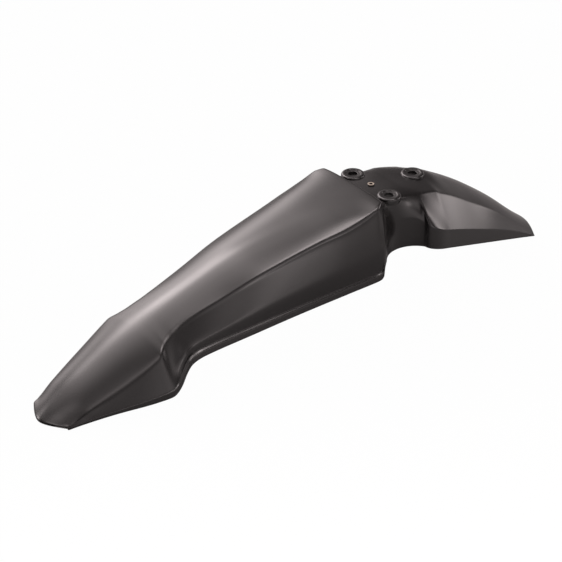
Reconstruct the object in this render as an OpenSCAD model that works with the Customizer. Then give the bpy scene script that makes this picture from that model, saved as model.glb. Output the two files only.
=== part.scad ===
// Front mudguard of an off-road motorcycle, moulded in one piece.
// The nose points along -Y and the tail along +Y, and the wheel runs below.
// The origin is midway between the two front bolt holes, level with their seats.
// Right and left are alike, so each line below is drawn for +X and mirrored.

/* [Overall] */
// From the front bolt holes forward to the tip of the nose
nose_reach = 470; // [430:5:520]
// From the front bolt holes back to the end of the tail
tail_reach = 240; // [220:5:280]
// Height of the mount plate above the tip of the nose
nose_drop = 137; // [115:1:155]
// Height of the mount plate above the bottom edge of the tail
tail_drop = 140; // [125:1:155]
// Wall thickness of the moulding
wall = 3; // [2.2:0.1:3.6]

/* [Nose] */
// Width across the corners at the front of the nose
nose_w = 67; // [54:1:78]
// How far the corners of the nose lie behind its tip
nose_sweep = 17; // [8:1:24]
// From the front bolt holes forward to the flare corners
flare_reach = 341; // [325:1:355]
// Width across the flare corners
flare_w = 145; // [138:1:156]
// Height of the mount plate above the flare corners
flare_drop = 121; // [113:1:129]
// Width between the peaks where the flares leave the deck
peak_w = 102; // [92:1:110]
// Height of the down-turned lip round the lower edge
lip_h = 8; // [5:0.5:11]

/* [Deck and flanks] */
// Width of the deck at its waist, behind the flares
waist_w = 75; // [66:1:86]
// Widest width of the deck, near its rear edge
deck_w = 120; // [108:1:126]
// Width of the deck along its rear edge
deck_end_w = 105; // [96:1:112]
// Height of the deck's rear edge above the mount plate
deck_rise = 12; // [9:0.5:15]
// From the front bolt holes forward to the deck's rear edge
deck_gap = 27; // [24:1:32]
// Width across the lower edges of the flanks at their rear ends
flank_w = 138; // [132:1:146]
// Height of the mount plate above the lower edges of the flanks
flank_drop = 85; // [77:1:91]
// How deep the flank is scooped in under the deck, behind the flares
scoop = 7; // [3:0.5:8]

/* [Mount plate] */
// Distance between the centres of the two front bolt holes
hole_gap = 66; // [60:1:72]
// From the front bolt holes back to the rear bolt hole
rear_hole_back = 63.5; // [58:0.5:70]
// Diameter of the three bolt holes
bolt_d = 11; // [8:0.5:13]
// Diameter of the raised pads round the bolt holes
pad_d = 28; // [25:0.5:30]
// Bevel round the top of each pad
pad_bevel = 1.5; // [0.5:0.25:2]
// Depth of the pads below their seats
pad_t = 7; // [6:0.5:10]
// Diameter of the shallow seat sunk into the top of each pad
seat_d = 19; // [15:0.5:20]
// Depth of that seat
seat_t = 1; // [0.5:0.1:1.2]
// Height of the front pads above the rear pad
rear_pad_drop = 6; // [5:0.5:7]
// Width of the neck between its shoulders
neck_w = 79; // [74:1:84]
// Diameter of the locating hole in the middle of the plate
pin_d = 4; // [3:0.5:5]
// Thickness of the ribs below the mount plate
rib_t = 3; // [2:0.5:4]
// Height of the mount plate above the lower edge of the neck's side facets
facet_drop = 30.5; // [26:0.5:34]

/* [Fork recesses] */
// Radius of the recess that clears each fork leg
fork_r = 35; // [32:0.5:37]
// Distance between the centres of the two recesses
fork_gap = 157; // [154:1:162]
// From the front bolt holes back to the recess centres
fork_back = 6; // [3:0.5:9]
// Height of the mount plate above the lower edges of the recesses
recess_drop = 70; // [66:1:74]

/* [Tail] */
// Width across the corners just behind the fork recesses
tail_front_w = 142; // [134:1:150]
// From the front bolt holes back to those corners
tail_front_back = 43; // [40:0.5:46]
// Width across the end of the tail
tail_end_w = 59; // [48:1:72]
// Height of the vertical side wall just behind the recesses
side_h = 27; // [20:1:31]

/* [Hidden] */
$fn = 64;

// Number of steps across the top, down the side, and along each stretch
top_steps = 7;
side_steps = 8;
nose_rows = 12;
scoop_rows = 7;
deck_rows = 18;
neck_rows = 15;
tail_rows = 16;
// The ledge above the lip with its fall, and how far the lip leans out
ledge = 3.2;
ledge_fall = 0.4;
lip_lean = 1.1;

function mix(a, b, f) = a + (b - a) * f;
function ramp(a, b, s) = let (t = max(0, min(1, (s - a) / (b - a)))) t * t * (3 - 2 * t);

// A smooth line through [place, value] points that never overshoots them
function rise(p, i) = (p[i + 1][1] - p[i][1]) / (p[i + 1][0] - p[i][0]);
function slope(p, i) =
    i == 0 ? rise(p, 0)
    : i == len(p) - 1 ? rise(p, i - 1)
    : rise(p, i - 1) * rise(p, i) <= 0 ? 0
    : 2 * rise(p, i - 1) * rise(p, i) / (rise(p, i - 1) + rise(p, i));
function stretch(p, s, i = 0) = i >= len(p) - 2 || s < p[i + 1][0] ? i : stretch(p, s, i + 1);
function along(p, place) =
    let (
        s = max(p[0][0], min(p[len(p) - 1][0], place)),
        i = stretch(p, s),
        h = p[i + 1][0] - p[i][0],
        t = (s - p[i][0]) / h
    )
    (1 + 2 * t) * pow(1 - t, 2) * p[i][1] + t * pow(1 - t, 2) * h * slope(p, i)
    + t * t * (3 - 2 * t) * p[i + 1][1] + t * t * (t - 1) * h * slope(p, i + 1);

// The short turned-down front of the nose, and how far it stands out
tip_lip = 2.7;
tip_out = 0.8;
tip_reach = nose_reach - tip_out;

// Places on the front part: 0 at the deck's rear edge, 1 at the flare, nose_end at the tip
nose_end = 1.41;
function front_y(s) =
    s <= 1 ? -mix(deck_gap, flare_reach, s)
    : -mix(flare_reach, tip_reach, (s - 1) / (nose_end - 1));

// Lines of the front part, as functions of that place
full_drop = deck_rise + nose_drop;
function deck_z(f) = deck_rise - f * full_drop;
function deck_x(f) = mix(waist_w, deck_w, f) / 2;
crown_z = [[0, deck_z(0)], [0.04, deck_z(0.007)], [0.17, deck_z(0.04)], [0.29, deck_z(0.08)],
    [0.53, deck_z(0.18)], [0.71, deck_z(0.295)], [0.87, deck_z(0.41)], [1, deck_z(0.525)],
    [1.185, deck_z(0.715)], [1.28, deck_z(0.82)], [1.36, deck_z(0.925)], [nose_end, deck_z(1)]];
crease_x = [[0, deck_end_w / 2], [0.04, deck_x(0.99)], [0.105, deck_x(1)], [0.175, deck_x(0.96)],
    [0.29, deck_x(0.75)], [0.53, deck_x(0.45)], [0.71, deck_x(0.2)], [0.87, deck_x(0)],
    [0.925, deck_x(0.1)], [0.965, mix(waist_w, peak_w, 0.5) / 2], [1, peak_w / 2],
    [1.12, mix(nose_w, peak_w, 0.76) / 2], [1.275, mix(nose_w, peak_w, 0.27) / 2],
    [1.357, nose_w / 2 - 0.5], [nose_end, nose_w / 2 - 4]];
crease_z = [[0, deck_z(0.018)], [0.032, deck_z(0.041)], [0.105, deck_z(0.094)],
    [0.175, deck_z(0.131)], [0.29, deck_z(0.17)], [0.53, deck_z(0.272)], [0.71, deck_z(0.382)],
    [0.87, deck_z(0.473)], [0.96, deck_z(0.557)], [1, deck_z(0.616)], [1.12, deck_z(0.748)],
    [1.275, deck_z(0.898)], [1.357, deck_z(0.988)], [nose_end, deck_z(1)]];
edge_x = [[0.025, flank_w / 2], [0.455, mix(waist_w, flank_w, 0.88) / 2],
    [0.71, mix(waist_w, flank_w, 0.79) / 2], [0.87, mix(waist_w, flank_w, 0.75) / 2],
    [0.91, mix(waist_w, flank_w, 0.86) / 2], [0.95, mix(waist_w, flank_w, 1.03) / 2],
    [0.985, flare_w / 2], [1.03, flare_w / 2 - 2.5], [1.357, nose_w / 2]];
edge_z = [[0.025, -flank_drop + 2.5], [0.04, -flank_drop + 0.7], [0.06, -flank_drop],
    [0.185, -flank_drop - 1], [0.41, -flank_drop - 3.2],
    [0.63, -flank_drop - 7], [0.83, -flank_drop - 10.8], [0.89, -flank_drop - 16],
    [0.966, -flare_drop + 1], [1, -flare_drop - 3], [1.185, mix(-flare_drop, -nose_drop, 0.62)],
    [1.357, -nose_drop - 4.6]];

// The front rows lean: nose corners lie behind the tip, flank ends ahead of the deck's end
flank_lean = 8;
function crease_y(s) = front_y(s) + along([[1.2, 0], [1.29, 3], [1.353, 9], [nose_end, nose_sweep - 2]], s);
function edge_y(s) =
    front_y(s) + along([[1.2, 0], [1.29, 4], [1.353, 10], [nose_end, nose_sweep]], s)
    - along([[0, flank_lean], [0.1, 0]], s);
function front_place(y) =
    -y <= flare_reach ? (-y - deck_gap) / (flare_reach - deck_gap)
    : 1 + (nose_end - 1) * (-y - flare_reach) / (tip_reach - flare_reach);

// A station is [centre, crease, side handle, foot handle, foot, lip top, edge, crown power]
function front_station(s) =
    let (
        yc = crease_y(s),
        ye = edge_y(s),
        sc = front_place(yc),
        se = front_place(ye),
        out = ledge * along([[0.025, 0.6], [0.93, 1], [1.005, 0.4], [1.357, 0.1]], se),
        tall = lip_h * along([[0.93, 1], [1, 1.1], [1.185, 0.65], [1.357, 0.45]], se),
        a = [0, front_y(s), along(crown_z, s)],
        c = [along(crease_x, sc), yc, along(crease_z, sc)],
        b = [along(edge_x, se), ye, along(edge_z, se)],
        m = b + [-lip_lean * tall / lip_h, 0, tall],
        l = m + [-out, 0, ledge_fall * out],
        w = 1 - ramp(0.925, 1.005, se),
        h = c[2] - l[2],
        dip = scoop * along([[0.02, 0], [0.55, 0.2], [0.8, 0.8], [0.93, 1], [1, 0]], se)
    )
    [a, c, mix((l - c) / 3, [-dip, 0, -0.5 * h], w), mix((c - l) / 3, [0, 0, 0.45 * h], w), l, m, b,
        along([[0, 3.4], [0.1, 3], [0.3, 1.8], [0.5, 1.5], [0.9, 1.5], [1.1, 1.8]], s)];

// The recess, seen from above: a straight return, the arc round the leg, and a rounded corner
fork_c = [fork_gap / 2, fork_back];
arc_from = 232;
arc_to = 125;
return_end = 0.22;
arc_end = 0.82;
flank_foot = [flank_w / 2 - 2.5, -deck_gap - flank_lean + 2.5];
tail_foot = [tail_front_w / 2, tail_front_back];
corner_pull = [-4.5, -8.5];
function on_arc(angle) = fork_c + fork_r * [cos(angle), sin(angle)];
function recess(q) =
    q < return_end ? mix(flank_foot, on_arc(arc_from), q / return_end)
    : q < arc_end ? on_arc(mix(arc_from, arc_to, (q - return_end) / (arc_end - return_end)))
    : let (t = (q - arc_end) / (1 - arc_end))
        pow(1 - t, 2) * on_arc(arc_to) + 2 * t * (1 - t) * (tail_foot + corner_pull) + t * t * tail_foot;

// Lines of the neck, with the recess's own place from 0 to 1
plate_front = -deck_gap + 3;
plate_end = 0.3 - rear_pad_drop;
tail_foot_z = -recess_drop - 1.5;
function neck_station(q) =
    let (
        p = recess(q),
        y = along([[0, plate_front], [0.22, -18], [0.5, 5], [0.8, 30], [1, tail_front_back]], q),
        half = neck_w / 2,
        a = [0, y, along([[0, -0.3], [0.5, -0.8], [0.7, -1.7], [0.85, mix(-1.7, plate_end, 0.5)],
            [1, plate_end]], q)],
        c = [along([[0, half + 8.5], [0.22, half + 5], [0.45, half], [1, half + 0.5]], q),
            y + along([[0, 2], [0.4, 0]], q),
            along([[0, -0.5], [0.45, -3.3], [0.67, -6], [1, -8.5]], q)],
        foot_z = along([[0, mix(-facet_drop, -flank_drop, 0.54)], [0.22, mix(-facet_drop, -flank_drop, 0.1)],
            [0.5, -facet_drop], [0.65, -facet_drop], [0.75, -facet_drop - 2.5], [0.8, -facet_drop - 5.5],
            [0.9, -facet_drop - 8], [1, tail_foot_z + side_h]], q),
        edge = along([[0, 7 - flank_drop], [0.06, mix(-recess_drop, 7 - flank_drop, 0.4)],
            [0.22, -recess_drop - 1], [0.4, -recess_drop], [0.9, -recess_drop], [1, tail_foot_z]], q),
        l = [p[0], p[1], foot_z],
        d = l - c
    )
    [a, c, [0.44 * d[0], 0.44 * d[1], 0.2 * d[2]], [-d[0] / 6, -d[1] / 6, -0.37 * d[2]],
        l, l - [0, 0, 1], [p[0], p[1], edge], along([[0.3, 2], [0.6, 4]], q)];

// Lines of the tail, with its place from 0 behind the recess to 1 at its end
function tail_y(u) = mix(tail_front_back, tail_reach, u);
function tail_z(f) = mix(-3, 18 - tail_drop, f);
tail_crown_z = [[0, plate_end], [0.06, -1.5 - rear_pad_drop], [0.1, -2 - rear_pad_drop],
    [0.14, -3 - rear_pad_drop], [0.19, tail_z(0.061)], [0.29, tail_z(0.138)],
    [0.44, tail_z(0.283)], [0.6, tail_z(0.468)], [0.725, tail_z(0.627)], [0.85, tail_z(0.808)],
    [0.94, tail_z(0.934)], [1, tail_z(1.01)]];
shoulder_z = [[0, -8.5], [0.08, -11.8], [0.17, mix(-9, 1.5 - tail_drop, 0.093)],
    [0.29, mix(-9, 1.5 - tail_drop, 0.193)], [0.44, mix(-9, 1.5 - tail_drop, 0.343)],
    [0.6, mix(-9, 1.5 - tail_drop, 0.502)], [0.725, mix(-9, 1.5 - tail_drop, 0.645)],
    [0.85, mix(-9, 1.5 - tail_drop, 0.8)], [1, 2.4 - tail_drop]];
function tail_station(u) =
    let (
        y = tail_y(u),
        a = [0, y, along(tail_crown_z, u)],
        c = [along([[0, neck_w / 2 + 0.5], [0.3, neck_w / 2 - 2.5], [0.6, neck_w / 2 - 5.5],
            [0.85, neck_w / 2 - 9.5], [1, tail_end_w / 2 - 1.3]], u), y, along(shoulder_z, u)],
        b = [mix(tail_front_w, tail_end_w, u) / 2, y, mix(tail_foot_z, -tail_drop, u)],
        tall = side_h * along([[0, 1], [0.09, 0.93], [0.26, 0.84], [0.47, 0.69], [0.75, 0.44],
            [0.95, 0.13], [1, 0.04]], u),
        l = b + [-0.8 * min(1, tall / lip_h), 0, tall],
        m = mix(b, l, 0.8)
    )
    [a, c, (l - c) / 3, (c - l) / 3, l, m, b, along([[0, 4], [0.1, 2.8], [0.25, 2]], u)];

// The rounded edge where the deck drops to the neck
brow = let (m = mix(front_station(0), neck_station(0), 0.22))
    [m[0] + [0, 1.4, 0.6], m[1] + [0, 0.8, 0.4], m[2], m[3], m[4], m[5], m[6], m[7]];

// One row of points across the skin at a station, from the left edge to the right one
function cubic(p, t) =
    pow(1 - t, 3) * p[0] + 3 * t * pow(1 - t, 2) * p[1] + 3 * t * t * (1 - t) * p[2] + t * t * t * p[3];
function half_row(st) =
    let (a = st[0], c = st[1], l = st[4])
    concat(
        [for (i = [0:top_steps]) let (t = i / top_steps)
            [c[0] * t, mix(a[1], c[1], pow(t, 1.35)), mix(a[2], c[2], pow(t, st[7]))]],
        [for (i = [1:side_steps]) cubic([c, c + st[2], l + st[3], l], i / side_steps)],
        [st[5], st[6]]
    );
function full_row(st) =
    let (h = half_row(st), n = len(h) - 1)
    concat([for (i = [n:-1:1]) [-h[i][0], h[i][1], h[i][2]]], h);

// The row along the lower front edge of the nose
tip = let (m = front_station(nose_end), d = [0, -tip_out, -tip_lip], e = [0, -tip_out, 0])
    [m[0] + d, m[1] + d, m[2] / 2, m[3] / 2, m[4] + mix(e, d, 0.3), m[5] + mix(e, d, 0.3), m[6] + e, m[7]];

// All rows, from the tip of the nose to the end of the tail
stations = concat(
    [tip],
    [for (i = [0:nose_rows - 1]) front_station(mix(nose_end, 1, i / nose_rows))],
    [for (i = [0:scoop_rows - 1]) front_station(1 - 0.09 * i / scoop_rows)],
    [for (i = [0:deck_rows - 1]) front_station(0.91 * (1 - i / deck_rows))],
    [front_station(0.018), front_station(0), brow],
    [for (i = [0:neck_rows - 1]) neck_station(i / neck_rows)],
    [for (i = [0:tail_rows]) tail_station(i / tail_rows)]
);
outer = [for (st = stations) full_row(st)];
row_n = len(outer);
col_n = len(outer[0]);

// The inner skin has the same lines, set in by one wall, which is thinner at the two tips
tip_run = 30;
function unit(v) = v / norm(v);
function travel(k, i) = stations[min(k + 1, row_n - 1)][i] - stations[max(k - 1, 0)][i];
function sideways(k, i) = let (t = travel(k, i)) unit([t[1], -t[0], 0]);
function upward(k) = let (t = travel(k, 0)) unit([0, -t[2], t[1]]);
function inset(k) =
    let (
        st = stations[k],
        w = wall * along([[-nose_reach, 0.5], [tip_run - nose_reach, 1], [tail_reach - tip_run, 1],
            [tail_reach, 0.45]], st[0][1]),
        in = w * sideways(k, 6),
        down = [0, 0, min(w, 0.5 * (st[5][2] - st[6][2]))]
    )
    [st[0] - w * upward(k), st[1] - 0.75 * w * sideways(k, 1) - [0, 0, w], st[2], st[3],
        st[4] - in - down, st[5] - in - down, st[6] - in, st[7]];
tip_w = wall / 2;
tip_inset = let (st = stations[0], in = [-tip_w, 0.2 * tip_w, 0], down = [0, 0, 0.7 * tip_w])
    [st[0] + [0, tip_w, 0], st[1] + [-0.75, 0.5, 0] * tip_w, st[2], st[3], st[4] + in - down,
        st[5] + in - down, st[6] + in, st[7]];
brow_row = nose_rows + scoop_rows + deck_rows + 3;
inner = [for (k = [0:row_n - 1])
    full_row(k == 0 ? tip_inset : k == brow_row ? mix(inset(k - 1), inset(k + 1), 0.4) : inset(k))];

// A closed solid between two skins that have the same rows
module between(upper, lower) {
    n = row_n * col_n;
    function at(r, c) = r * col_n + c;
    points = concat([for (row = upper) each row], [for (row = lower) each row]);
    skins = [for (r = [0:row_n - 2]) for (c = [0:col_n - 2])
        let (p = at(r, c), q = at(r + 1, c))
        each [[p, q, q + 1], [p, q + 1, p + 1], [n + p, n + q + 1, n + q], [n + p, n + p + 1, n + q + 1]]];
    sides = [for (r = [0:row_n - 2]) let (p = at(r, 0), q = at(r + 1, 0), e = col_n - 1)
        each [[p, n + p, n + q], [p, n + q, q], [p + e, q + e, n + q + e], [p + e, n + q + e, n + p + e]]];
    ends = [for (c = [0:col_n - 2]) let (p = at(0, c), q = at(row_n - 1, c))
        each [[p, p + 1, n + p + 1], [p, n + p + 1, n + p], [q, n + q, n + q + 1], [q, n + q + 1, q + 1]]];
    polyhedron(points, concat(skins, sides, ends), convexity = 8);
}

// Flat-topped pads round the bolts, the front two standing out as ears
pad_places = [[-hole_gap / 2, 0, 0], [hole_gap / 2, 0, 0], [0, rear_hole_back, -rear_pad_drop]];
module pads() {
    wall_h = pad_t + seat_t - pad_bevel;
    for (p = pad_places) translate(p - [0, 0, pad_t]) {
        cylinder(d = pad_d, h = wall_h);
        translate([0, 0, wall_h]) cylinder(d1 = pad_d, d2 = pad_d - 2 * pad_bevel, h = pad_bevel);
    }
}

// The bolt holes, each with the shallow seat of its bolt's flange
module bolt_holes() {
    for (p = pad_places) translate(p) {
        translate([0, 0, -2 * pad_t]) cylinder(d = bolt_d, h = 4 * pad_t);
        cylinder(d = seat_d, h = 2 * pad_t);
    }
}

// Small raised ring round the locating hole
ring_wall = 2;
ring_h = 1.2;
module ring() {
    translate([0, 0, -wall]) cylinder(d = pin_d + 2 * ring_wall, h = wall + ring_h);
}
module ring_hole() {
    translate([0, 0, -2 * wall]) cylinder(d = pin_d, h = 4 * wall);
}

// Ribs that tie the three pads together below the plate
rib_top = -wall / 2;
module rib(from, to) {
    d = to - from;
    translate([from[0], from[1], min(from[2], to[2]) - pad_t]) rotate([0, 0, atan2(d[1], d[0])])
        translate([pad_d / 3, -rib_t / 2, 0])
            cube([norm([d[0], d[1]]) - 2 * pad_d / 3, rib_t, pad_t + rib_top + max(from[2], to[2])]);
}
module ribs() {
    for (i = [0:1]) rib(pad_places[i], pad_places[2]);
}

module mudguard() {
    color([0.16, 0.155, 0.16]) difference() {
        union() {
            between(outer, inner);
            pads();
            ring();
            ribs();
        }
        bolt_holes();
        ring_hole();
    }
}

mudguard();
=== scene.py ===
"""Front mudguard of an off-road motorcycle, moulded in one piece of satin black plastic.

The nose points along -Y and the tail along +Y. Shapes are worked out in millimetres, as
whole numpy arrays, and put into their meshes in metres. Right and left are alike.
"""

import bmesh
import bpy
import numpy as np
from mathutils import Matrix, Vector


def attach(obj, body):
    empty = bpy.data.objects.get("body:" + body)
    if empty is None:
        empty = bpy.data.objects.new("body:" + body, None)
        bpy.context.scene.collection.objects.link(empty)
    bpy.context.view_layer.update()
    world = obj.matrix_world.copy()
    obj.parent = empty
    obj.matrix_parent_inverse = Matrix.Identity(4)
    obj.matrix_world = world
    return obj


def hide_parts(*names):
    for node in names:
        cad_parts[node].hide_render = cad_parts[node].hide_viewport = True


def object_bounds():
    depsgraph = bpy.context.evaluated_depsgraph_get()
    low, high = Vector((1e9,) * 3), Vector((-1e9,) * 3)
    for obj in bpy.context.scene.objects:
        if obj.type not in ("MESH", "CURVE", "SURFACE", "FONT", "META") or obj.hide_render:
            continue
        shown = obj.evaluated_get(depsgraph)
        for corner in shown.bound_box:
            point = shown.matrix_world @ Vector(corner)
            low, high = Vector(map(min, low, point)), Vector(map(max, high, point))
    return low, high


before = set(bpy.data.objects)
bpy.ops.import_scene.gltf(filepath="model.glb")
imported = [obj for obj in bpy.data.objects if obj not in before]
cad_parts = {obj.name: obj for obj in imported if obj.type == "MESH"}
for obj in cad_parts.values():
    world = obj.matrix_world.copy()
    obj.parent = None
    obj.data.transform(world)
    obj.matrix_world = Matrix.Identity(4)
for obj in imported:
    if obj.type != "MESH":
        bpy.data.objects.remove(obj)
cad_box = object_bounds()

# Sizes of the moulding, in millimetres, as in the part's source, but for two: LEDGE_FALL is
# 0.4 there, and BEND_AT, the place of the flank's bend from crease to foot, is only here
NOSE_REACH, TAIL_REACH, NOSE_DROP, TAIL_DROP, WALL = 470.0, 240.0, 137.0, 140.0, 3.0
NOSE_W, NOSE_SWEEP, FLARE_REACH, FLARE_W, FLARE_DROP = 67.0, 17.0, 341.0, 145.0, 121.0
PEAK_W, LIP_H = 102.0, 8.0
WAIST_W, DECK_W, DECK_END_W, DECK_RISE, DECK_GAP = 75.0, 120.0, 105.0, 12.0, 27.0
FLANK_W, FLANK_DROP = 138.0, 85.0
HOLE_GAP, REAR_HOLE_BACK, BOLT_D, PAD_D, PAD_BEVEL, PAD_T = 66.0, 63.5, 11.0, 28.0, 1.5, 7.0
SEAT_D, SEAT_T, REAR_PAD_DROP, NECK_W, PIN_D, RIB_T = 19.0, 1.0, 6.0, 79.0, 4.0, 3.0
FORK_R, FORK_GAP, FORK_BACK, FACET_DROP, RECESS_DROP = 35.0, 157.0, 6.0, 30.5, 70.0
TAIL_FRONT_W, TAIL_FRONT_BACK, TAIL_END_W, SIDE_H = 142.0, 43.0, 59.0, 27.0
LEDGE, LEDGE_FALL, LIP_LEAN, NOSE_END, FLANK_LEAN = 3.2, 0.45, 1.1, 1.41, 8.0
TIP_LIP, TIP_OUT, BEND_AT = 2.7, 0.8, 0.66
TIP_REACH, PLATE_END, TAIL_FOOT_Z = NOSE_REACH - TIP_OUT, 0.3 - REAR_PAD_DROP, -RECESS_DROP - 1.5
FOOT_R = 0.9
# How round the ends of the skin are: rings over each tip, and points round each rim
TIP_RINGS, RIM_POINTS = 6, 7
# Reach, from each hole's middle, of the skin's cells below a pad and below the ring
PAD_COVER, RING_COVER, COVER_DEPTH = 8.6, 3.0, 14.0


# Lines that the moulding follows
def mix(a, b, f):
    return a + (b - a) * f


def ramp(a, b, s):
    t = np.clip((s - a) / (b - a), 0, 1)
    return t * t * (3 - 2 * t)


def along(points, place):
    """A smooth line through (place, value) points that never overshoots them.

    Between two points it is the cubic with value and slope given at both; the slope at an
    inner point is the harmonic mean of the rises on its two sides, or 0 at a turn.
    """
    p = np.array(points, float)
    place = np.clip(np.asarray(place, float), p[0, 0], p[-1, 0])
    h = np.diff(p[:, 0])
    rise = np.diff(p[:, 1]) / h
    slope = np.concatenate([rise[:1], np.zeros(len(h) - 1), rise[-1:]])
    both = rise[:-1] * rise[1:]
    total = rise[:-1] + rise[1:]
    slope[1:-1] = np.where(both > 0, 2 * both / np.where(both > 0, total, 1), 0)
    i = np.clip(np.searchsorted(p[:, 0], place, side="right") - 1, 0, len(h) - 1)
    t = (place - p[i, 0]) / h[i]
    return (
        (1 + 2 * t) * (1 - t) ** 2 * p[i, 1]
        + t * (1 - t) ** 2 * h[i] * slope[i]
        + t * t * (3 - 2 * t) * p[i + 1, 1]
        + t * t * (t - 1) * h[i] * slope[i + 1]
    )


def xyz(x, y, z):
    return np.stack(np.broadcast_arrays(x, y, z), -1).astype(float)


def unit(v):
    return v / np.maximum(np.linalg.norm(v, axis=-1, keepdims=True), 1e-12)


# A station holds seven points and the crown's power:
# centre, crease, side handle, foot handle, foot, lip top, edge, (power, 0, 0)
def stations(*parts):
    return np.stack(parts, 1)


def front_y(s):
    fore = mix(FLARE_REACH, TIP_REACH, (s - 1) / (NOSE_END - 1))
    return -np.where(s <= 1, mix(DECK_GAP, FLARE_REACH, s), fore)


def front_place(y):
    fore = 1 + (NOSE_END - 1) * (-y - FLARE_REACH) / (TIP_REACH - FLARE_REACH)
    return np.where(-y <= FLARE_REACH, (-y - DECK_GAP) / (FLARE_REACH - DECK_GAP), fore)


def deck_z(f):
    return DECK_RISE - f * (DECK_RISE + NOSE_DROP)


def deck_x(f):
    return mix(WAIST_W, DECK_W, f) / 2


CROWN_Z = [(0, deck_z(0)), (0.04, deck_z(0.007)), (0.17, deck_z(0.04)), (0.29, deck_z(0.08)),
           (0.53, deck_z(0.18)), (0.71, deck_z(0.295)), (0.87, deck_z(0.41)),
           (1, deck_z(0.525)), (1.185, deck_z(0.715)), (1.28, deck_z(0.82)),
           (1.36, deck_z(0.925)), (NOSE_END, deck_z(1))]
CREASE_X = [(0, DECK_END_W / 2), (0.04, deck_x(0.99)), (0.105, deck_x(1)), (0.175, deck_x(0.96)),
            (0.29, deck_x(0.75)), (0.53, deck_x(0.45)), (0.71, deck_x(0.2)), (0.87, deck_x(0)),
            (0.925, deck_x(0.1)), (0.965, mix(WAIST_W, PEAK_W, 0.5) / 2), (1, PEAK_W / 2),
            (1.12, mix(NOSE_W, PEAK_W, 0.76) / 2), (1.275, mix(NOSE_W, PEAK_W, 0.27) / 2),
            (1.357, NOSE_W / 2 - 0.5), (NOSE_END, NOSE_W / 2 - 4)]
CREASE_Z = [(0, deck_z(0.018)), (0.032, deck_z(0.041)), (0.105, deck_z(0.094)),
            (0.175, deck_z(0.131)), (0.29, deck_z(0.17)), (0.53, deck_z(0.272)),
            (0.71, deck_z(0.382)), (0.87, deck_z(0.473)), (0.96, deck_z(0.557)),
            (1, deck_z(0.616)), (1.12, deck_z(0.748)), (1.275, deck_z(0.898)),
            (1.357, deck_z(0.988)), (NOSE_END, deck_z(1))]
EDGE_X = [(0.025, FLANK_W / 2), (0.455, mix(WAIST_W, FLANK_W, 0.88) / 2),
          (0.71, mix(WAIST_W, FLANK_W, 0.79) / 2), (0.87, mix(WAIST_W, FLANK_W, 0.75) / 2),
          (0.91, mix(WAIST_W, FLANK_W, 0.86) / 2), (0.95, mix(WAIST_W, FLANK_W, 1.03) / 2),
          (0.985, FLARE_W / 2), (1.03, FLARE_W / 2 - 2.5), (1.357, NOSE_W / 2)]
EDGE_Z = [(0.025, -FLANK_DROP + 2.5), (0.04, -FLANK_DROP + 0.7), (0.06, -FLANK_DROP),
          (0.185, -FLANK_DROP - 1), (0.41, -FLANK_DROP - 3.2), (0.63, -FLANK_DROP - 7),
          (0.83, -FLANK_DROP - 10.8), (0.89, -FLANK_DROP - 16),
          (0.966, -FLARE_DROP + 1), (1, -FLARE_DROP - 3),
          (1.185, mix(-FLARE_DROP, -NOSE_DROP, 0.62)), (1.357, -NOSE_DROP - 4.6)]


def front_stations(s):
    """The front part at places s, from 0 at the deck's rear edge over 1 at the flare corners
    to NOSE_END at the tip: each named line is read at the place of its own y, since the
    nose corners lie behind the tip and the flank ends lie ahead of the deck's end."""
    yc = front_y(s) + along([(1.2, 0), (1.29, 3), (1.353, 9), (NOSE_END, NOSE_SWEEP - 2)], s)
    ye = front_y(s) + along([(1.2, 0), (1.29, 4), (1.353, 10), (NOSE_END, NOSE_SWEEP)], s)
    ye = ye - along([(0, FLANK_LEAN), (0.1, 0)], s)
    sc, se = front_place(yc), front_place(ye)
    out = LEDGE * along([(0.025, 0.6), (0.93, 1), (1.005, 0.4), (1.357, 0.1)], se)
    tall = LIP_H * along([(0.93, 1), (1, 1.1), (1.185, 0.65), (1.357, 0.45)], se)
    a = xyz(0, front_y(s), along(CROWN_Z, s))
    c = xyz(along(CREASE_X, sc), yc, along(CREASE_Z, sc))
    b = xyz(along(EDGE_X, se), ye, along(EDGE_Z, se))
    lean = along([(0.93, -LIP_LEAN), (1.05, 0.9), (1.3, 1.6)], se)
    b = b - xyz(np.maximum(lean, 0), 0, 0)
    m = b + xyz(lean * tall / LIP_H, 0, tall)
    foot = m + xyz(-out, 0, LEDGE_FALL * out)
    flank = 1 - ramp(0.9, 0.985, se)
    bulge = flank * ((1 - BEND_AT) * (foot[:, 0] - c[:, 0]) + along([(0, 1.2), (0.5, 0.3)], se))
    tuck = flank * along([(0.02, 1.2), (0.2, 1.4), (0.5, 1.2), (0.9, 0.8)], se)
    power = along([(0, 3.6), (0.1, 3.4), (0.3, 2.3), (0.5, 1.8), (0.9, 1.65), (1.1, 2)], s)
    return stations(a, c, (foot - c) / 3, (c - foot) / 3, foot, m, b, xyz(power, bulge, tuck))


FORK_C = np.array([FORK_GAP / 2, FORK_BACK])
ARC_FROM, ARC_TO, RETURN_END, ARC_END = 232.0, 125.0, 0.22, 0.82
FLANK_FOOT = np.array([FLANK_W / 2 - 2.5, -DECK_GAP - FLANK_LEAN + 2.5])
TAIL_FOOT = np.array([TAIL_FRONT_W / 2, TAIL_FRONT_BACK])


def on_arc(angle):
    a = np.radians(angle)
    return FORK_C + FORK_R * np.stack([np.cos(a), np.sin(a)], -1)


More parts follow.
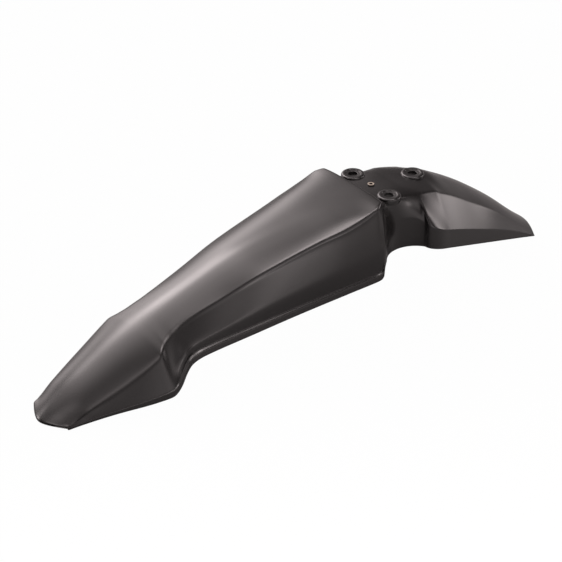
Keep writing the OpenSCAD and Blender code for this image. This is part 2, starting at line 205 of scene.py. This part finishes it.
def recess(q):
    """The recess seen from above at places q from 0 to 1: a straight return wall, the arc
    round the fork leg, and a quadratic curve round the corner to the tail."""
    q = np.asarray(q, float)[:, None]
    back = mix(FLANK_FOOT, on_arc(ARC_FROM), q / RETURN_END)
    arc = on_arc(mix(ARC_FROM, ARC_TO, (q[:, 0] - RETURN_END) / (ARC_END - RETURN_END)))
    t = (q - ARC_END) / (1 - ARC_END)
    pulled = TAIL_FOOT + np.array([-4.5, -8.5])
    corner = (1 - t) ** 2 * on_arc(ARC_TO) + 2 * t * (1 - t) * pulled + t * t * TAIL_FOOT
    return np.where(q < RETURN_END, back, np.where(q < ARC_END, arc, corner))


def neck_stations(q):
    """The neck at places q along the recess: a flat plate whose shoulders turn down into the
    recess wall."""
    q = np.asarray(q, float)
    p = recess(q)
    y = along([(0, 3 - DECK_GAP), (0.22, -18), (0.5, 5), (0.8, 30), (1, TAIL_FRONT_BACK)], q)
    half = NECK_W / 2
    a = xyz(0, y, along([(0, -0.3), (0.5, -0.8), (0.7, -1.7), (0.85, mix(-1.7, PLATE_END, 0.5)),
                         (1, PLATE_END)], q))
    c = xyz(along([(0, half + 8.5), (0.22, half + 5), (0.45, half), (1, half + 0.5)], q),
            y + along([(0, 2), (0.4, 0), (0.6, 0), (1, 2)], q),
            along([(0, -0.5), (0.45, -3.3), (0.67, -6), (1, -8.5)], q))
    top = along([(0, mix(-FACET_DROP, -FLANK_DROP, 0.54)),
                 (0.22, mix(-FACET_DROP, -FLANK_DROP, 0.1)), (0.5, -FACET_DROP),
                 (0.65, -FACET_DROP), (0.75, -FACET_DROP - 2.5), (0.8, -FACET_DROP - 5.5),
                 (0.9, -FACET_DROP - 8), (1, TAIL_FOOT_Z + SIDE_H)], q)
    low = along([(0, 7 - FLANK_DROP), (0.06, mix(-RECESS_DROP, 7 - FLANK_DROP, 0.4)),
                 (0.22, -RECESS_DROP - 1), (0.4, -RECESS_DROP), (0.9, -RECESS_DROP),
                 (1, TAIL_FOOT_Z)], q)
    foot = xyz(p[:, 0], p[:, 1], top)
    d = foot - c
    return stations(a, c, d * (0.44, 0.44, 0.2), -d * (1 / 6, 1 / 6, 0.37), foot,
                    foot - (0, 0, 1), xyz(p[:, 0], p[:, 1], low),
                    xyz(along([(0.3, 2), (0.6, 4)], q), 0, 0))


def tail_z(f):
    return mix(-3, 18 - TAIL_DROP, f)


def shoulder_drop(f):
    return mix(-9, 1.5 - TAIL_DROP, f)


TAIL_CROWN_Z = [(0, PLATE_END), (0.06, -1.5 - REAR_PAD_DROP), (0.1, -2 - REAR_PAD_DROP),
                (0.14, -3 - REAR_PAD_DROP), (0.19, tail_z(0.061)), (0.29, tail_z(0.138)),
                (0.44, tail_z(0.283)), (0.6, tail_z(0.468)), (0.725, tail_z(0.627)),
                (0.85, tail_z(0.808)), (0.94, tail_z(0.934)), (1, tail_z(1.01))]
SHOULDER_Z = [(0, -8.5), (0.08, -11.8), (0.17, shoulder_drop(0.093)), (0.29, shoulder_drop(0.193)),
              (0.44, shoulder_drop(0.343)), (0.6, shoulder_drop(0.502)),
              (0.725, shoulder_drop(0.645)), (0.85, shoulder_drop(0.8)), (1, 2.4 - TAIL_DROP)]


def tail_stations(u):
    """The tail at places u, from 0 just behind the recesses to 1 at its end."""
    y = mix(TAIL_FRONT_BACK, TAIL_REACH, u)
    half = NECK_W / 2
    a = xyz(0, y, along(TAIL_CROWN_Z, u))
    c = xyz(along([(0, half + 0.5), (0.3, half - 2.5), (0.6, half - 5.5), (0.85, half - 9.5),
                   (1, TAIL_END_W / 2 - 1.3)], u), y + along([(0, 2), (0.3, 0)], u),
            along(SHOULDER_Z, u))
    b = xyz(mix(TAIL_FRONT_W, TAIL_END_W, u) / 2, y, mix(TAIL_FOOT_Z, -TAIL_DROP, u))
    tall = SIDE_H * along([(0, 1), (0.09, 0.93), (0.26, 0.84), (0.47, 0.69), (0.75, 0.44),
                           (0.95, 0.13), (1, 0.04)], u)
    foot = b + xyz(-0.8 * np.minimum(1, tall / LIP_H), 0, tall)
    return stations(a, c, (foot - c) / 3, (c - foot) / 3, foot, mix(b, foot, 0.8), b,
                    xyz(along([(0, 4), (0.1, 2.8), (0.25, 2), (0.6, 2.4), (1, 3)], u), 0, 0))


# The moulded skin
def rounded(before, corner, after, n):
    """Rows that round a corner between two stations: the quadratic curve whose handle is
    the corner itself."""
    t = np.linspace(0, 1, n + 2)[1:-1, None, None]
    return (1 - t) ** 2 * before + 2 * t * (1 - t) * corner + t * t * after


def all_stations():
    """All rows from nose to tail, with the deck's rear edge and the foot of its step
    rounded, and which rows lie in those two corners."""
    nose = front_stations(np.linspace(NOSE_END, 1, 56))
    tip = nose[:1] + xyz(0, -TIP_OUT, np.array([1, 1, 0, 0, 0.3, 0.1, -0.45, 0]) * -TIP_LIP)
    tip[:, (2, 3, 7)] = nose[:1, (2, 3, 7)] * (0.5, 0.5, 1)
    front = np.concatenate([tip, mix(tip, nose[:1], 0.3)])
    front = np.concatenate([front, rounded(mix(tip, nose[:1], 0.5), nose[:1], nose[1:2], 5)])
    nose = nose[1:]
    flare = front_stations(np.linspace(1, 0.9, 26)[1:])
    deck = front_stations(np.linspace(0.9, 0.0125, 84)[1:])
    end, plate = front_stations(np.zeros(1)), neck_stations(np.zeros(1))
    brow = rounded(deck[-1:], end, mix(end, plate, 0.4), 7)
    step = mix(end, plate, np.linspace(0.4, 0.8, 4)[:, None, None])
    start = neck_stations(np.array([0.04]))
    sole = rounded(step[-1:], plate, start, 4)
    neck = neck_stations(np.linspace(0.04, 0.9, 46))
    joint, tail = tail_stations(np.zeros(1)), tail_stations(np.linspace(0.12, 1, 46))
    joint[:, 4:7] += (1.3, 0, 0)
    heel = rounded(neck[-1:], joint, tail[:1], 14)
    rows = np.concatenate([front, nose, flare, deck, brow, step, sole, neck, heel, tail])
    first = len(front) + len(nose) + len(flare) + len(deck)
    corner = np.zeros(len(rows), bool)
    corner[1 : len(front)] = True
    corner[first : first + len(brow) + len(step) + len(sole)] = True
    return rows, corner


def inset(rows, corner):
    """The same lines set in by one wall, thinner towards the two tips. Rows in a sharp
    corner take a straight run between the rows on its two sides, so nothing folds over."""
    def travel(i):
        return np.gradient(rows[:, i], axis=0)

    def sideways(i):
        t = travel(i)
        return unit(xyz(t[:, 1], -t[:, 0], 0))

    t = travel(0)
    upward = unit(xyz(0, -t[:, 2], t[:, 1]))
    w = WALL * along([(-NOSE_REACH, 0.5), (30 - NOSE_REACH, 1), (TAIL_REACH - 30, 1),
                      (TAIL_REACH, 0.45)], rows[:, 0, 1])[:, None]
    inward = w * sideways(6)
    down = np.minimum(w, 0.5 * (rows[:, 5, 2:] - rows[:, 6, 2:])) * (0, 0, 1)
    inner = rows.copy()
    inner[:, 0] -= w * upward
    inner[:, 1] -= 0.75 * w * sideways(1) + w * (0, 0, 1)
    inner[:, 4] -= inward + down
    inner[:, 5] -= inward + down
    inner[:, 6] -= inward
    thin = WALL / 2
    inner[0] = rows[0]
    inner[0, 0] += (0, thin, 0)
    inner[0, 1] += (-0.75 * thin, 0.5 * thin, 0)
    inner[0, 4:6] += (-thin, 0.2 * thin, -0.7 * thin)
    inner[0, 6] += (-thin, 0.2 * thin, 0)
    k = np.arange(len(rows))
    flat = inner.reshape(len(rows), -1)
    for j in range(flat.shape[1]):
        flat[:, j] = np.interp(k, k[~corner], flat[~corner, j])
    return flat.reshape(inner.shape)


def soft_power(t, power, e=0.2):
    """A power of t from 0 to 1 whose start is rounded: (t squared + e squared) to half the
    power, less its value at 0, over its span."""
    start, end = e ** power, (1 + e * e) ** (power / 2)
    return ((t * t + e * e) ** (power / 2) - start) / (end - start)


def crown_point(st, t):
    """The crown: x grows evenly, y and z by rounded powers of t, from centre to crease."""
    a, c, power = st[:, None, 0], st[:, None, 1], st[:, None, 7, 0]
    return xyz(c[..., 0] * t, mix(a[..., 1], c[..., 1], soft_power(t, 1.35)),
               mix(a[..., 2], c[..., 2], soft_power(t, power)))


def side_point(st, t):
    """The side: a cubic curve with four control points, from the crease to the foot, pushed
    out by a bulge that rises and falls in two straight runs with a rounded bend between
    them, and tucked in just below the crease: a quick fall and a slow return, as the
    difference of two decaying powers of e."""
    up, fall = t / BEND_AT, (1 - t) / (1 - BEND_AT)
    out = st[:, 7, 1:2] * (up + fall - np.sqrt((up - fall) ** 2 + 0.12)) / 2
    out = out - st[:, 7, 2:] * (np.exp(-t / 0.35) - np.exp(-t / 0.035)) * (1 - t)
    t = t[..., None]
    c, p, q, f = (st[:, None, i] for i in (1, 2, 3, 4))
    return ((1 - t) ** 3 * c + 3 * t * (1 - t) ** 2 * (c + p)
            + 3 * t * t * (1 - t) * (f + q) + t ** 3 * f + xyz(out, 0, 0))


def bend(p, corner, q, n):
    """n points round a corner, from p to q, on the quadratic curve with the corner as
    handle, both ends included."""
    t = np.linspace(0, 1, n)[None, :, None]
    return (1 - t) ** 2 * p + 2 * t * (1 - t) * corner + t * t * q


def half_section(st, crease_r, foot_r):
    """Half a section from the centre line outwards: crown, rounded crease, side, rounded
    foot, ledge, rounded lip top, and lip down to the edge."""
    one = np.ones((len(st), 1))
    near_crown = np.linalg.norm(side_point(st, one * 0.02) - side_point(st, one * 0), axis=-1)
    near_foot = np.linalg.norm(side_point(st, one) - side_point(st, one * 0.98), axis=-1)
    crown_end = np.linalg.norm(crown_point(st, one) - crown_point(st, one * 0.98), axis=-1)
    d1 = np.minimum(0.25, crease_r * 0.02 / np.maximum(crown_end, 1e-6))
    d2 = np.minimum(0.3, crease_r * 0.02 / np.maximum(near_crown, 1e-6))
    d3 = np.minimum(0.3, foot_r * 0.02 / np.maximum(near_foot, 1e-6))
    foot_r = foot_r[..., None]
    crown = crown_point(st, np.linspace(0, 1, 27)[None, :] * (1 - d1))
    side = side_point(st, d2 + np.linspace(0, 1, 34)[None, :] * (1 - d2 - d3))
    c, foot, m, b = (st[:, None, i] for i in (1, 4, 5, 6))
    crease = bend(crown[:, -1:], c, side[:, :1], 7)[:, 1:-1]
    step = np.linalg.norm(m - foot, axis=-1, keepdims=True)
    lip = np.linalg.norm(b - m, axis=-1, keepdims=True)
    r = np.minimum(foot_r, 0.42 * step)
    p = foot + unit(m - foot) * r
    low = bend(side[:, -1:], foot, p, 4)[:, 1:]
    q = m - unit(m - foot) * r
    s = m + unit(b - m) * np.minimum(r * 1.2, 0.3 * lip)
    top = bend(q, m, s, 5)
    down = mix(s, b, np.linspace(0, 1, 5)[None, 1:, None])
    return np.concatenate([crown, crease, side, low, top, down], 1)


def mirrored(half):
    """The whole section from the left edge to the right one."""
    return np.concatenate([half[:, :0:-1] * (-1, 1, 1), half], 1)


def bead(outer_end, inner_end, onward, n=RIM_POINTS):
    """The half-round rim between the ends of the outer and the inner skin: a half circle
    about the middle of the wall that stands out along onward."""
    mid, arm = (outer_end + inner_end) / 2, (outer_end - inner_end) / 2
    turn = np.linspace(0, np.pi, n + 2)[1:-1][None, :, None]
    r = np.linalg.norm(arm, axis=-1, keepdims=True)
    return mid[:, None] + np.cos(turn) * arm[:, None] + np.sin(turn) * (r * onward)[:, None]


# The crease's rounding at places along the part: (y, radius)
CREASE_R = [(-470, 1.5), (-420, 5), (-330, 5), (-300, 4), (-240, 3), (-120, 3.5), (-60, 4.2),
            (-35, 3.5), (-27, 2), (0, 2.5), (60, 2.5), (240, 1.0)]


def mudguard_skin():
    """The closed moulded skin: each row is a loop that runs over the outer side, round the
    right rim, back along the inner side and round the left rim, and the rows of the two
    tips close over half-round ends."""
    rows, corner = all_stations()
    within = inset(rows, corner)
    y = rows[:, 0, 1]
    round_crease = along(CREASE_R, y)[:, None]
    round_foot = np.full_like(round_crease, FOOT_R)
    outer = mirrored(half_section(rows, round_crease, round_foot))
    inner = mirrored(half_section(within, round_crease + 1, round_foot))
    # The rim stands inside the edge, so that the edge line itself keeps its place
    down = unit(rows[:, 6] - rows[:, 5])
    thick = np.linalg.norm(outer[:, -1] - inner[:, -1], axis=-1)[:, None]
    for skin in (outer, inner):
        for col, side in ((0, (-1, 1, 1)), (-1, (1, 1, 1))):
            skin[:, col] -= 0.5 * thick * down * side
    right = bead(outer[:, -1], inner[:, -1], down)
    left = bead(inner[:, 0], outer[:, 0], down * (-1, 1, 1))

    def tip(k, step):
        """The rings of both skins that close the wall at end row k over a half round."""
        mid, arm = (outer[k] + inner[k]) / 2, (outer[k] - inner[k]) / 2
        onward = unit(rows[k, 0] - rows[k + step, 0])
        r = np.linalg.norm(arm, axis=-1, keepdims=True)
        turn = np.linspace(0, np.pi / 2, TIP_RINGS)[:, None, None]
        shift = np.sin(turn) * r * onward - r * onward
        return mid + np.cos(turn) * arm + shift, mid - np.cos(turn) * arm + shift

    loops = np.concatenate([outer, right, inner[:, ::-1], left], 1)
    ends = []
    for k, step in ((0, 1), (len(rows) - 1, -1)):
        o, i = tip(k, step)
        turn = np.linspace(0, np.pi / 2, TIP_RINGS)
        rim = []
        for bead_row in (right[k], left[k]):
            mid = bead_row.mean(0)
            onward = unit(rows[k, 0] - rows[k + step, 0])
            r = np.linalg.norm(outer[k, -1] - inner[k, -1]) / 2
            flat = mid + (bead_row - mid) * np.cos(turn)[:, None, None]
            rim.append(flat + (np.sin(turn)[:, None, None] - 1) * r * onward)
        ends.append(np.concatenate([o, rim[0], i[:, ::-1], rim[1]], 1))
    return loops[1:-1], ends, outer.shape[1], right.shape[1]


def piece(name, points, faces, merge=0.0):
    """An object at the origin whose mesh holds the points, given in millimetres."""
    mesh = bpy.data.meshes.new(name)
    mesh.from_pydata((np.asarray(points) / 1000.0).tolist(), [], np.asarray(faces).tolist())
    mesh.update()
    bm = bmesh.new()
    bm.from_mesh(mesh)
    if merge:
        bmesh.ops.remove_doubles(bm, verts=bm.verts, dist=merge / 1000.0)
    bmesh.ops.recalc_face_normals(bm, faces=bm.faces)
    bm.to_mesh(mesh)
    bm.free()
    mesh.polygons.foreach_set("use_smooth", [True] * len(mesh.polygons))
    obj = bpy.data.objects.new(name, mesh)
    bpy.context.scene.collection.objects.link(obj)
    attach(obj, "root")
    return obj


HOLES = np.array([[-HOLE_GAP / 2, 0, 0], [HOLE_GAP / 2, 0, 0],
                  [0, REAR_HOLE_BACK, -REAR_PAD_DROP]])


def build_skin():
    """The skin's mesh: quads between neighbouring rows of loops, from tip to tip."""
    loops, ends, n_outer, n_rim = mudguard_skin()
    rows, cols = loops.shape[:2]
    grid = np.concatenate([ends[0][::-1], loops, ends[1]], 0)
    total = len(grid)
    at = np.arange(total)[:, None] * cols + np.arange(cols)[None, :]
    nxt = np.roll(at, -1, axis=1)
    quads = np.stack([at[:-1], nxt[:-1], nxt[1:], at[1:]], -1)
    # Meant to leave the cells under a pad or the ring out of both skins and to wall the gap.
    # As it stands cut is a view of gone and is emptied with it, so no cell is left out, no
    # wall is made, and the skin closes all four holes
    centre = grid.reshape(-1, 3)[quads].mean(2)
    gone = np.zeros(quads.shape[:2], bool)
    for x, y, z, r in [(*hole, PAD_COVER) for hole in HOLES] + [(0, 0, 0, RING_COVER)]:
        near = np.hypot(centre[..., 0] - x, centre[..., 1] - y) < r
        gone |= near & (centre[..., 2] > z - COVER_DEPTH)
    over = slice(0, n_outer - 1)
    under = slice(n_outer + n_rim, 2 * n_outer + n_rim - 1)
    cut = gone[:, over]
    gone[:] = False
    gone[:, over] = cut
    gone[:, under] = cut[:, ::-1]
    faces = [quads[~gone]]
    below = (2 * n_outer + n_rim - 1) - np.arange(n_outer)
    pad = np.pad(cut, 1)
    r, c = np.nonzero(pad[1:, 1:-1] != pad[:-1, 1:-1])
    faces.append(np.stack([at[r, c], at[r, c + 1], at[r, below[c + 1]], at[r, below[c]]], -1))
    r, c = np.nonzero(pad[1:-1, 1:] != pad[1:-1, :-1])
    faces.append(np.stack([at[r, c], at[r + 1, c], at[r + 1, below[c]], at[r, below[c]]], -1))
    return piece("mudguard_skin", grid.reshape(-1, 3), np.concatenate(faces), merge=0.002)


def turned(profile, centre, steps=96):
    """A closed (radius, height) profile turned about a vertical line through centre."""
    p = np.array(profile, float)
    a = np.linspace(0, 2 * np.pi, steps, endpoint=False)
    ring = xyz(centre[0] + np.cos(a)[:, None] * p[None, :, 0],
               centre[1] + np.sin(a)[:, None] * p[None, :, 0], centre[2] + p[None, :, 1])
    i = np.arange(steps)[:, None] * len(p) + np.arange(len(p))[None, :]
    j, k = np.roll(i, -1, axis=1), np.roll(i, -1, axis=0)
    quads = np.stack([i, k, np.roll(k, -1, axis=1), j], -1).reshape(-1, 4)
    return ring.reshape(-1, 3), quads


def soft_profile(corners, radii, n=5):
    """A closed profile through corners, each rounded by its radius with a quadratic curve."""
    c = np.array(corners, float)
    before, after = np.roll(c, 1, axis=0), np.roll(c, -1, axis=0)
    r = np.array(radii, float)[:, None]
    p, q = c + unit(before - c) * r, c + unit(after - c) * r
    t = np.linspace(0, 1, n)[None, :, None]
    out = (1 - t) ** 2 * p[:, None] + 2 * t * (1 - t) * c[:, None] + t * t * q[:, None]
    return out.reshape(-1, 2)


def build_pads():
    """The three collars round the bolt holes, each with a shallow seat round its hole."""
    points, faces, start = [], [], 0
    R, r, seat, top = PAD_D / 2, BOLT_D / 2, SEAT_D / 2, SEAT_T
    for hole in HOLES:
        profile = soft_profile(
            [(r, -PAD_T), (R - 0.4, -PAD_T), (R, top - PAD_BEVEL), (R - PAD_BEVEL, top),
             (seat, top), (seat - 0.4, 0), (r, 0)], [0.5, 1.0, 1.0, 1.0, 0.5, 0.5, 0.5])
        p, f = turned(profile, hole)
        points.append(p)
        faces.append(f + start)
        start += len(p)
    return piece("bolt_pads", np.concatenate(points), np.concatenate(faces))


def build_ring():
    """The raised ring round the locating hole, with a painted highlight on its rim."""
    r = PIN_D / 2
    profile = soft_profile([(r, -4), (r + 2, -4), (r + 2, 0.9), (r, 0.9)], [0.2, 0.2, 0.5, 0.4])
    p, f = turned(profile, (0, 0, 0), 48)
    return piece("locating_ring", p, f)


def build_ribs():
    """Upright ribs under the plate that tie the pads together, as rounded bars."""
    points, faces, start = [], [], 0
    for a, b in ((HOLES[0], HOLES[2]), (HOLES[1], HOLES[2])):
        d = b - a
        reach = np.hypot(d[0], d[1])
        u = np.array([d[0], d[1]]) / reach
        side = np.array([-u[1], u[0]])
        low = min(a[2], b[2]) - PAD_T
        profile = soft_profile([(-RIB_T / 2, low), (RIB_T / 2, low), (RIB_T / 2 + 0.2, -1.5),
                                (-RIB_T / 2 - 0.2, -1.5)], [0.6, 0.6, 0.3, 0.3])
        s = np.linspace(PAD_D / 3, reach - PAD_D / 3, 24)[:, None]
        top = mix(a[2], b[2], s / reach)
        z = np.where(profile[None, :, 1] > low + 4, top - 1.5, profile[None, :, 1])
        ring = xyz(a[0] + u[0] * s + side[0] * profile[None, :, 0],
                   a[1] + u[1] * s + side[1] * profile[None, :, 0], z)
        n, m = ring.shape[:2]
        i = np.arange(n - 1)[:, None] * m + np.arange(m)[None, :]
        j = np.roll(i, -1, axis=1)
        quads = np.stack([i, j, j + m, i + m], -1).reshape(-1, 4)
        points.append(ring.reshape(-1, 3))
        faces.append(quads + start)
        start += n * m
    return piece("plate_ribs", np.concatenate(points), np.concatenate(faces))


# Finishes
class Wire:
    """A socket that takes part in Python sums and products as Math nodes."""

    def __init__(self, tree, socket):
        self.tree, self.socket = tree, socket

    def _math(self, operation, other, swap=False):
        node = self.tree.nodes.new("ShaderNodeMath")
        node.operation = operation
        for slot_no, value in enumerate((other, self) if swap else (self, other)):
            if isinstance(value, Wire):
                self.tree.links.new(value.socket, node.inputs[slot_no])
            elif value is not None:
                node.inputs[slot_no].default_value = value
        return Wire(self.tree, node.outputs[0])

    def __add__(self, other):
        return self._math("ADD", other)

    def __radd__(self, other):
        return self._math("ADD", other, True)

    def __sub__(self, other):
        return self._math("SUBTRACT", other)

    def __mul__(self, other):
        return self._math("MULTIPLY", other)

    def exp(self):
        return self._math("EXPONENT", None)


class Finish:
    """A material and its nodes."""

    def __init__(self, name):
        self.material = bpy.data.materials.new(name)
        self.material.use_nodes = True
        self.tree = self.material.node_tree
        self.shader = self.tree.nodes["Principled BSDF"]

    def node(self, kind, settings=None, **inputs):
        """A node of a type, with its settings, and its sockets' values or links."""
        node = self.tree.nodes.new(kind)
        for key, value in (settings or {}).items():
            setattr(node, key, value)
        for key, value in inputs.items():
            socket = node.inputs[key.replace("_", " ")]
            if isinstance(value, Wire):
                self.tree.links.new(value.socket, socket)
            else:
                socket.default_value = value
        return node

    def out(self, node, name=0):
        return Wire(self.tree, node.outputs[name])

    def feed(self, name, wire):
        self.tree.links.new(wire.socket, self.shader.inputs[name])


def ring_painted_highlight():
    """The ring's plastic with a painted highlight, pale on top; its sides stay black. The pale
    share grows with height and is broken up by a fine cloud."""
    f = Finish("ring_painted_highlight")
    place = f.out(f.node("ShaderNodeTexCoord"), "Object")
    cloud = f.out(f.node("ShaderNodeTexNoise", Vector=place, Scale=900.0, Detail=2.0), 0)
    height = f.out(f.node("ShaderNodeSeparateXYZ", Vector=place), "Z")
    # Painted highlight: the ring's top is tinted pale beige, more so the higher it stands
    pale = f.node("ShaderNodeMapRange", Value=height + (cloud - 0.5) * 0.0006,
                  From_Min=0.0003, From_Max=0.0008)
    tint = f.node("ShaderNodeMix", {"data_type": "RGBA"})
    f.tree.links.new(f.out(pale).socket, tint.inputs[0])
    tint.inputs[6].default_value = (0.0075, 0.0068, 0.0068, 1)
    tint.inputs[7].default_value = (0.24, 0.2, 0.16, 1)
    f.tree.links.new(tint.outputs[2], f.shader.inputs["Base Color"])
    f.feed("Roughness", 0.42 + (cloud - 0.5) * 0.1)
    return f.material


def satin_black():
    """Black polypropylene from a polished mould: slightly warm, satin, with a very fine
    grain, faint flow marks and small changes of gloss."""
    f = Finish("satin_black_plastic")
    place = f.out(f.node("ShaderNodeTexCoord"), "Object")
    grain = f.out(f.node("ShaderNodeTexNoise", Vector=place, Scale=2600.0, Detail=2.0), 0)
    cloud = f.out(f.node("ShaderNodeTexNoise", Vector=place, Scale=14.0, Detail=3.0), 0)
    f.feed("Roughness", 0.24 + (cloud - 0.5) * 0.06 + (grain - 0.5) * 0.05)
    tint = f.node("ShaderNodeMix", {"data_type": "RGBA"})
    f.tree.links.new(cloud.socket, tint.inputs[0])
    tint.inputs[6].default_value = (0.0055, 0.005, 0.005, 1)
    tint.inputs[7].default_value = (0.0075, 0.0068, 0.0068, 1)
    f.tree.links.new(tint.outputs[2], f.shader.inputs["Base Color"])
    bump = f.node("ShaderNodeBump", Height=grain, Strength=0.08, Distance=0.0001)
    f.feed("Normal", f.out(bump))
    f.shader.inputs["IOR"].default_value = 1.5
    return f.material


# Pieces
plastic = satin_black()
skin = build_skin()
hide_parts("mudguard")
for obj in (skin, build_pads(), build_ribs()):
    obj.data.materials.append(plastic)
# The ring's finish paints a highlight on its top
build_ring().data.materials.append(ring_painted_highlight())


# Studio: floor, lights and camera
def flat_finish(name, colour):
    f = Finish(name)
    f.shader.inputs["Base Color"].default_value = (*colour, 1)
    f.shader.inputs["Roughness"].default_value = 1.0
    f.shader.inputs["Specular IOR Level"].default_value = 0.0
    return f


def white_to_camera(f, share):
    """The finish, except that the camera sees plain white mixed in by a share."""
    tree = f.tree
    glow = f.node("ShaderNodeEmission", Color=(1, 1, 1, 1), Strength=1.0)
    seen = f.out(f.node("ShaderNodeLightPath"), "Is Camera Ray")
    blend = f.node("ShaderNodeMixShader")
    tree.links.new((seen * share).socket, blend.inputs[0])
    tree.links.new(f.shader.outputs[0], blend.inputs[1])
    tree.links.new(glow.outputs[0], blend.inputs[2])
    tree.links.new(blend.outputs[0], tree.nodes["Material Output"].inputs[0])


# The floor lies half a millimetre below the part, 8 m across; its colour holds painted shade, dark
# round the part and behind it and paler away from the part towards the camera's side, and the
# camera sees it almost white
FLOOR_SIZE, FLOOR_DROP, FLOOR_WHITE = 8, 0.0005, 0.985
floor_z = cad_box[0][2] - FLOOR_DROP
bpy.ops.mesh.primitive_plane_add(size=FLOOR_SIZE, location=(0, 0, floor_z))
floor = bpy.context.object
floor.name = "floor"
ground = flat_finish("floor_painted_shade", (0.5, 0.5, 0.5))
on_floor = ground.out(ground.node("ShaderNodeTexCoord"), "Object")
spot = ground.node("ShaderNodeSeparateXYZ", Vector=on_floor)
ahead = ground.out(spot, "X") * 0.87 - ground.out(spot, "Y") * 0.5
# Painted shade: the floor's colour is dark round the part and behind it, and pale ahead of it
shade = ground.node("ShaderNodeMapRange", {"interpolation_type": "SMOOTHSTEP"}, Value=ahead,
                    From_Min=0.1, From_Max=0.7, To_Min=0.3, To_Max=0.95)
grey = ground.node("ShaderNodeCombineColor", Red=ground.out(shade), Green=ground.out(shade),
                   Blue=ground.out(shade))
ground.feed("Base Color", ground.out(grey))
white_to_camera(ground, FLOOR_WHITE)
floor.data.materials.append(ground.material)


def toward(azimuth, elevation):
    """The direction at an azimuth from +X towards +Y and an elevation, in degrees."""
    a, e = np.radians(azimuth), np.radians(elevation)
    return (np.cos(a) * np.cos(e), np.sin(a) * np.cos(e), np.sin(e))


# The studio's soft lights: azimuth, elevation, sharpness and strength of each
LIGHTS = [(-174, 57, 12, 2.69), (163, 22, 40, 3.79), (9, 24, 12, 1.26), (72, 6, 100, 6.39),
          (49, 74, 100, 13.54), (176, 36, 100, 10.42), (177, 8, 100, 2.01), (106, 2, 12, 0.49),
          (-56, 61, 40, 1.26), (12, -0, 100, 5.19), (171, 49, 100, 9.65), (154, 83, 100, 2.75),
          (-104, 48, 100, 4.70), (-32, 53, 100, 2.43), (166, 68, 100, 2.90),
          (-155, 17, 100, 9.97), (63, 27, 100, 4.64), (-14, 12, 40, 0.55)]
WARM, ROOM_LEVEL = (1.075, 0.975, 0.97), 0.05

world = bpy.data.worlds.new("studio")
bpy.context.scene.world = world
world.use_nodes = True
tree = world.node_tree
room = tree.nodes["Background"]
room.inputs[0].default_value = (*WARM, 1)
seen_from = tree.nodes.new("ShaderNodeTexCoord").outputs["Generated"]
level = ROOM_LEVEL
for azimuth, elevation, sharpness, strength in LIGHTS:
    facing = tree.nodes.new("ShaderNodeVectorMath")
    facing.operation = "DOT_PRODUCT"
    tree.links.new(seen_from, facing.inputs[0])
    facing.inputs[1].default_value = toward(azimuth, elevation)
    glow = ((Wire(tree, facing.outputs["Value"]) - 1) * sharpness).exp() * strength
    level = glow + level
tree.links.new(level.socket, room.inputs[1])
white = tree.nodes.new("ShaderNodeBackground")
white.inputs[0].default_value = (1, 1, 1, 1)
white.inputs[1].default_value = 1.0
path = tree.nodes.new("ShaderNodeLightPath")
blend = tree.nodes.new("ShaderNodeMixShader")
tree.links.new(path.outputs["Is Camera Ray"], blend.inputs[0])
tree.links.new(room.outputs[0], blend.inputs[1])
tree.links.new(white.outputs[0], blend.inputs[2])
tree.links.new(blend.outputs[0], tree.nodes["World Output"].inputs[0])

# The photograph's view: 52 degrees round from the front, 30.5 degrees up, a long lens
AZ, EL, FOCAL, REACH = np.radians(52.0), np.radians(30.5), 2700.0, 3139.5
SHIFT_RIGHT, SHIFT_UP, PICTURE, SENSOR = 104.53, 112.56, 562.0, 36.0
back = np.array([np.sin(AZ) * np.cos(EL), -np.cos(AZ) * np.cos(EL), np.sin(EL)])
right = np.array([np.cos(AZ), np.sin(AZ), 0.0])
up = np.cross(right, -back)
eye = -(right * SHIFT_RIGHT + up * SHIFT_UP - back * REACH) / 1000.0
camera = bpy.data.cameras.new("camera")
camera.sensor_width = SENSOR
camera.lens = FOCAL / PICTURE * SENSOR
camera.clip_start, camera.clip_end = 0.1, 50.0
viewer = bpy.data.objects.new("camera", camera)
viewer.matrix_world = Matrix((
    (right[0], up[0], back[0], eye[0]),
    (right[1], up[1], back[1], eye[1]),
    (right[2], up[2], back[2], eye[2]),
    (0, 0, 0, 1),
))
bpy.context.scene.collection.objects.link(viewer)
bpy.context.scene.camera = viewer
bpy.context.scene.view_settings.view_transform = "Standard"
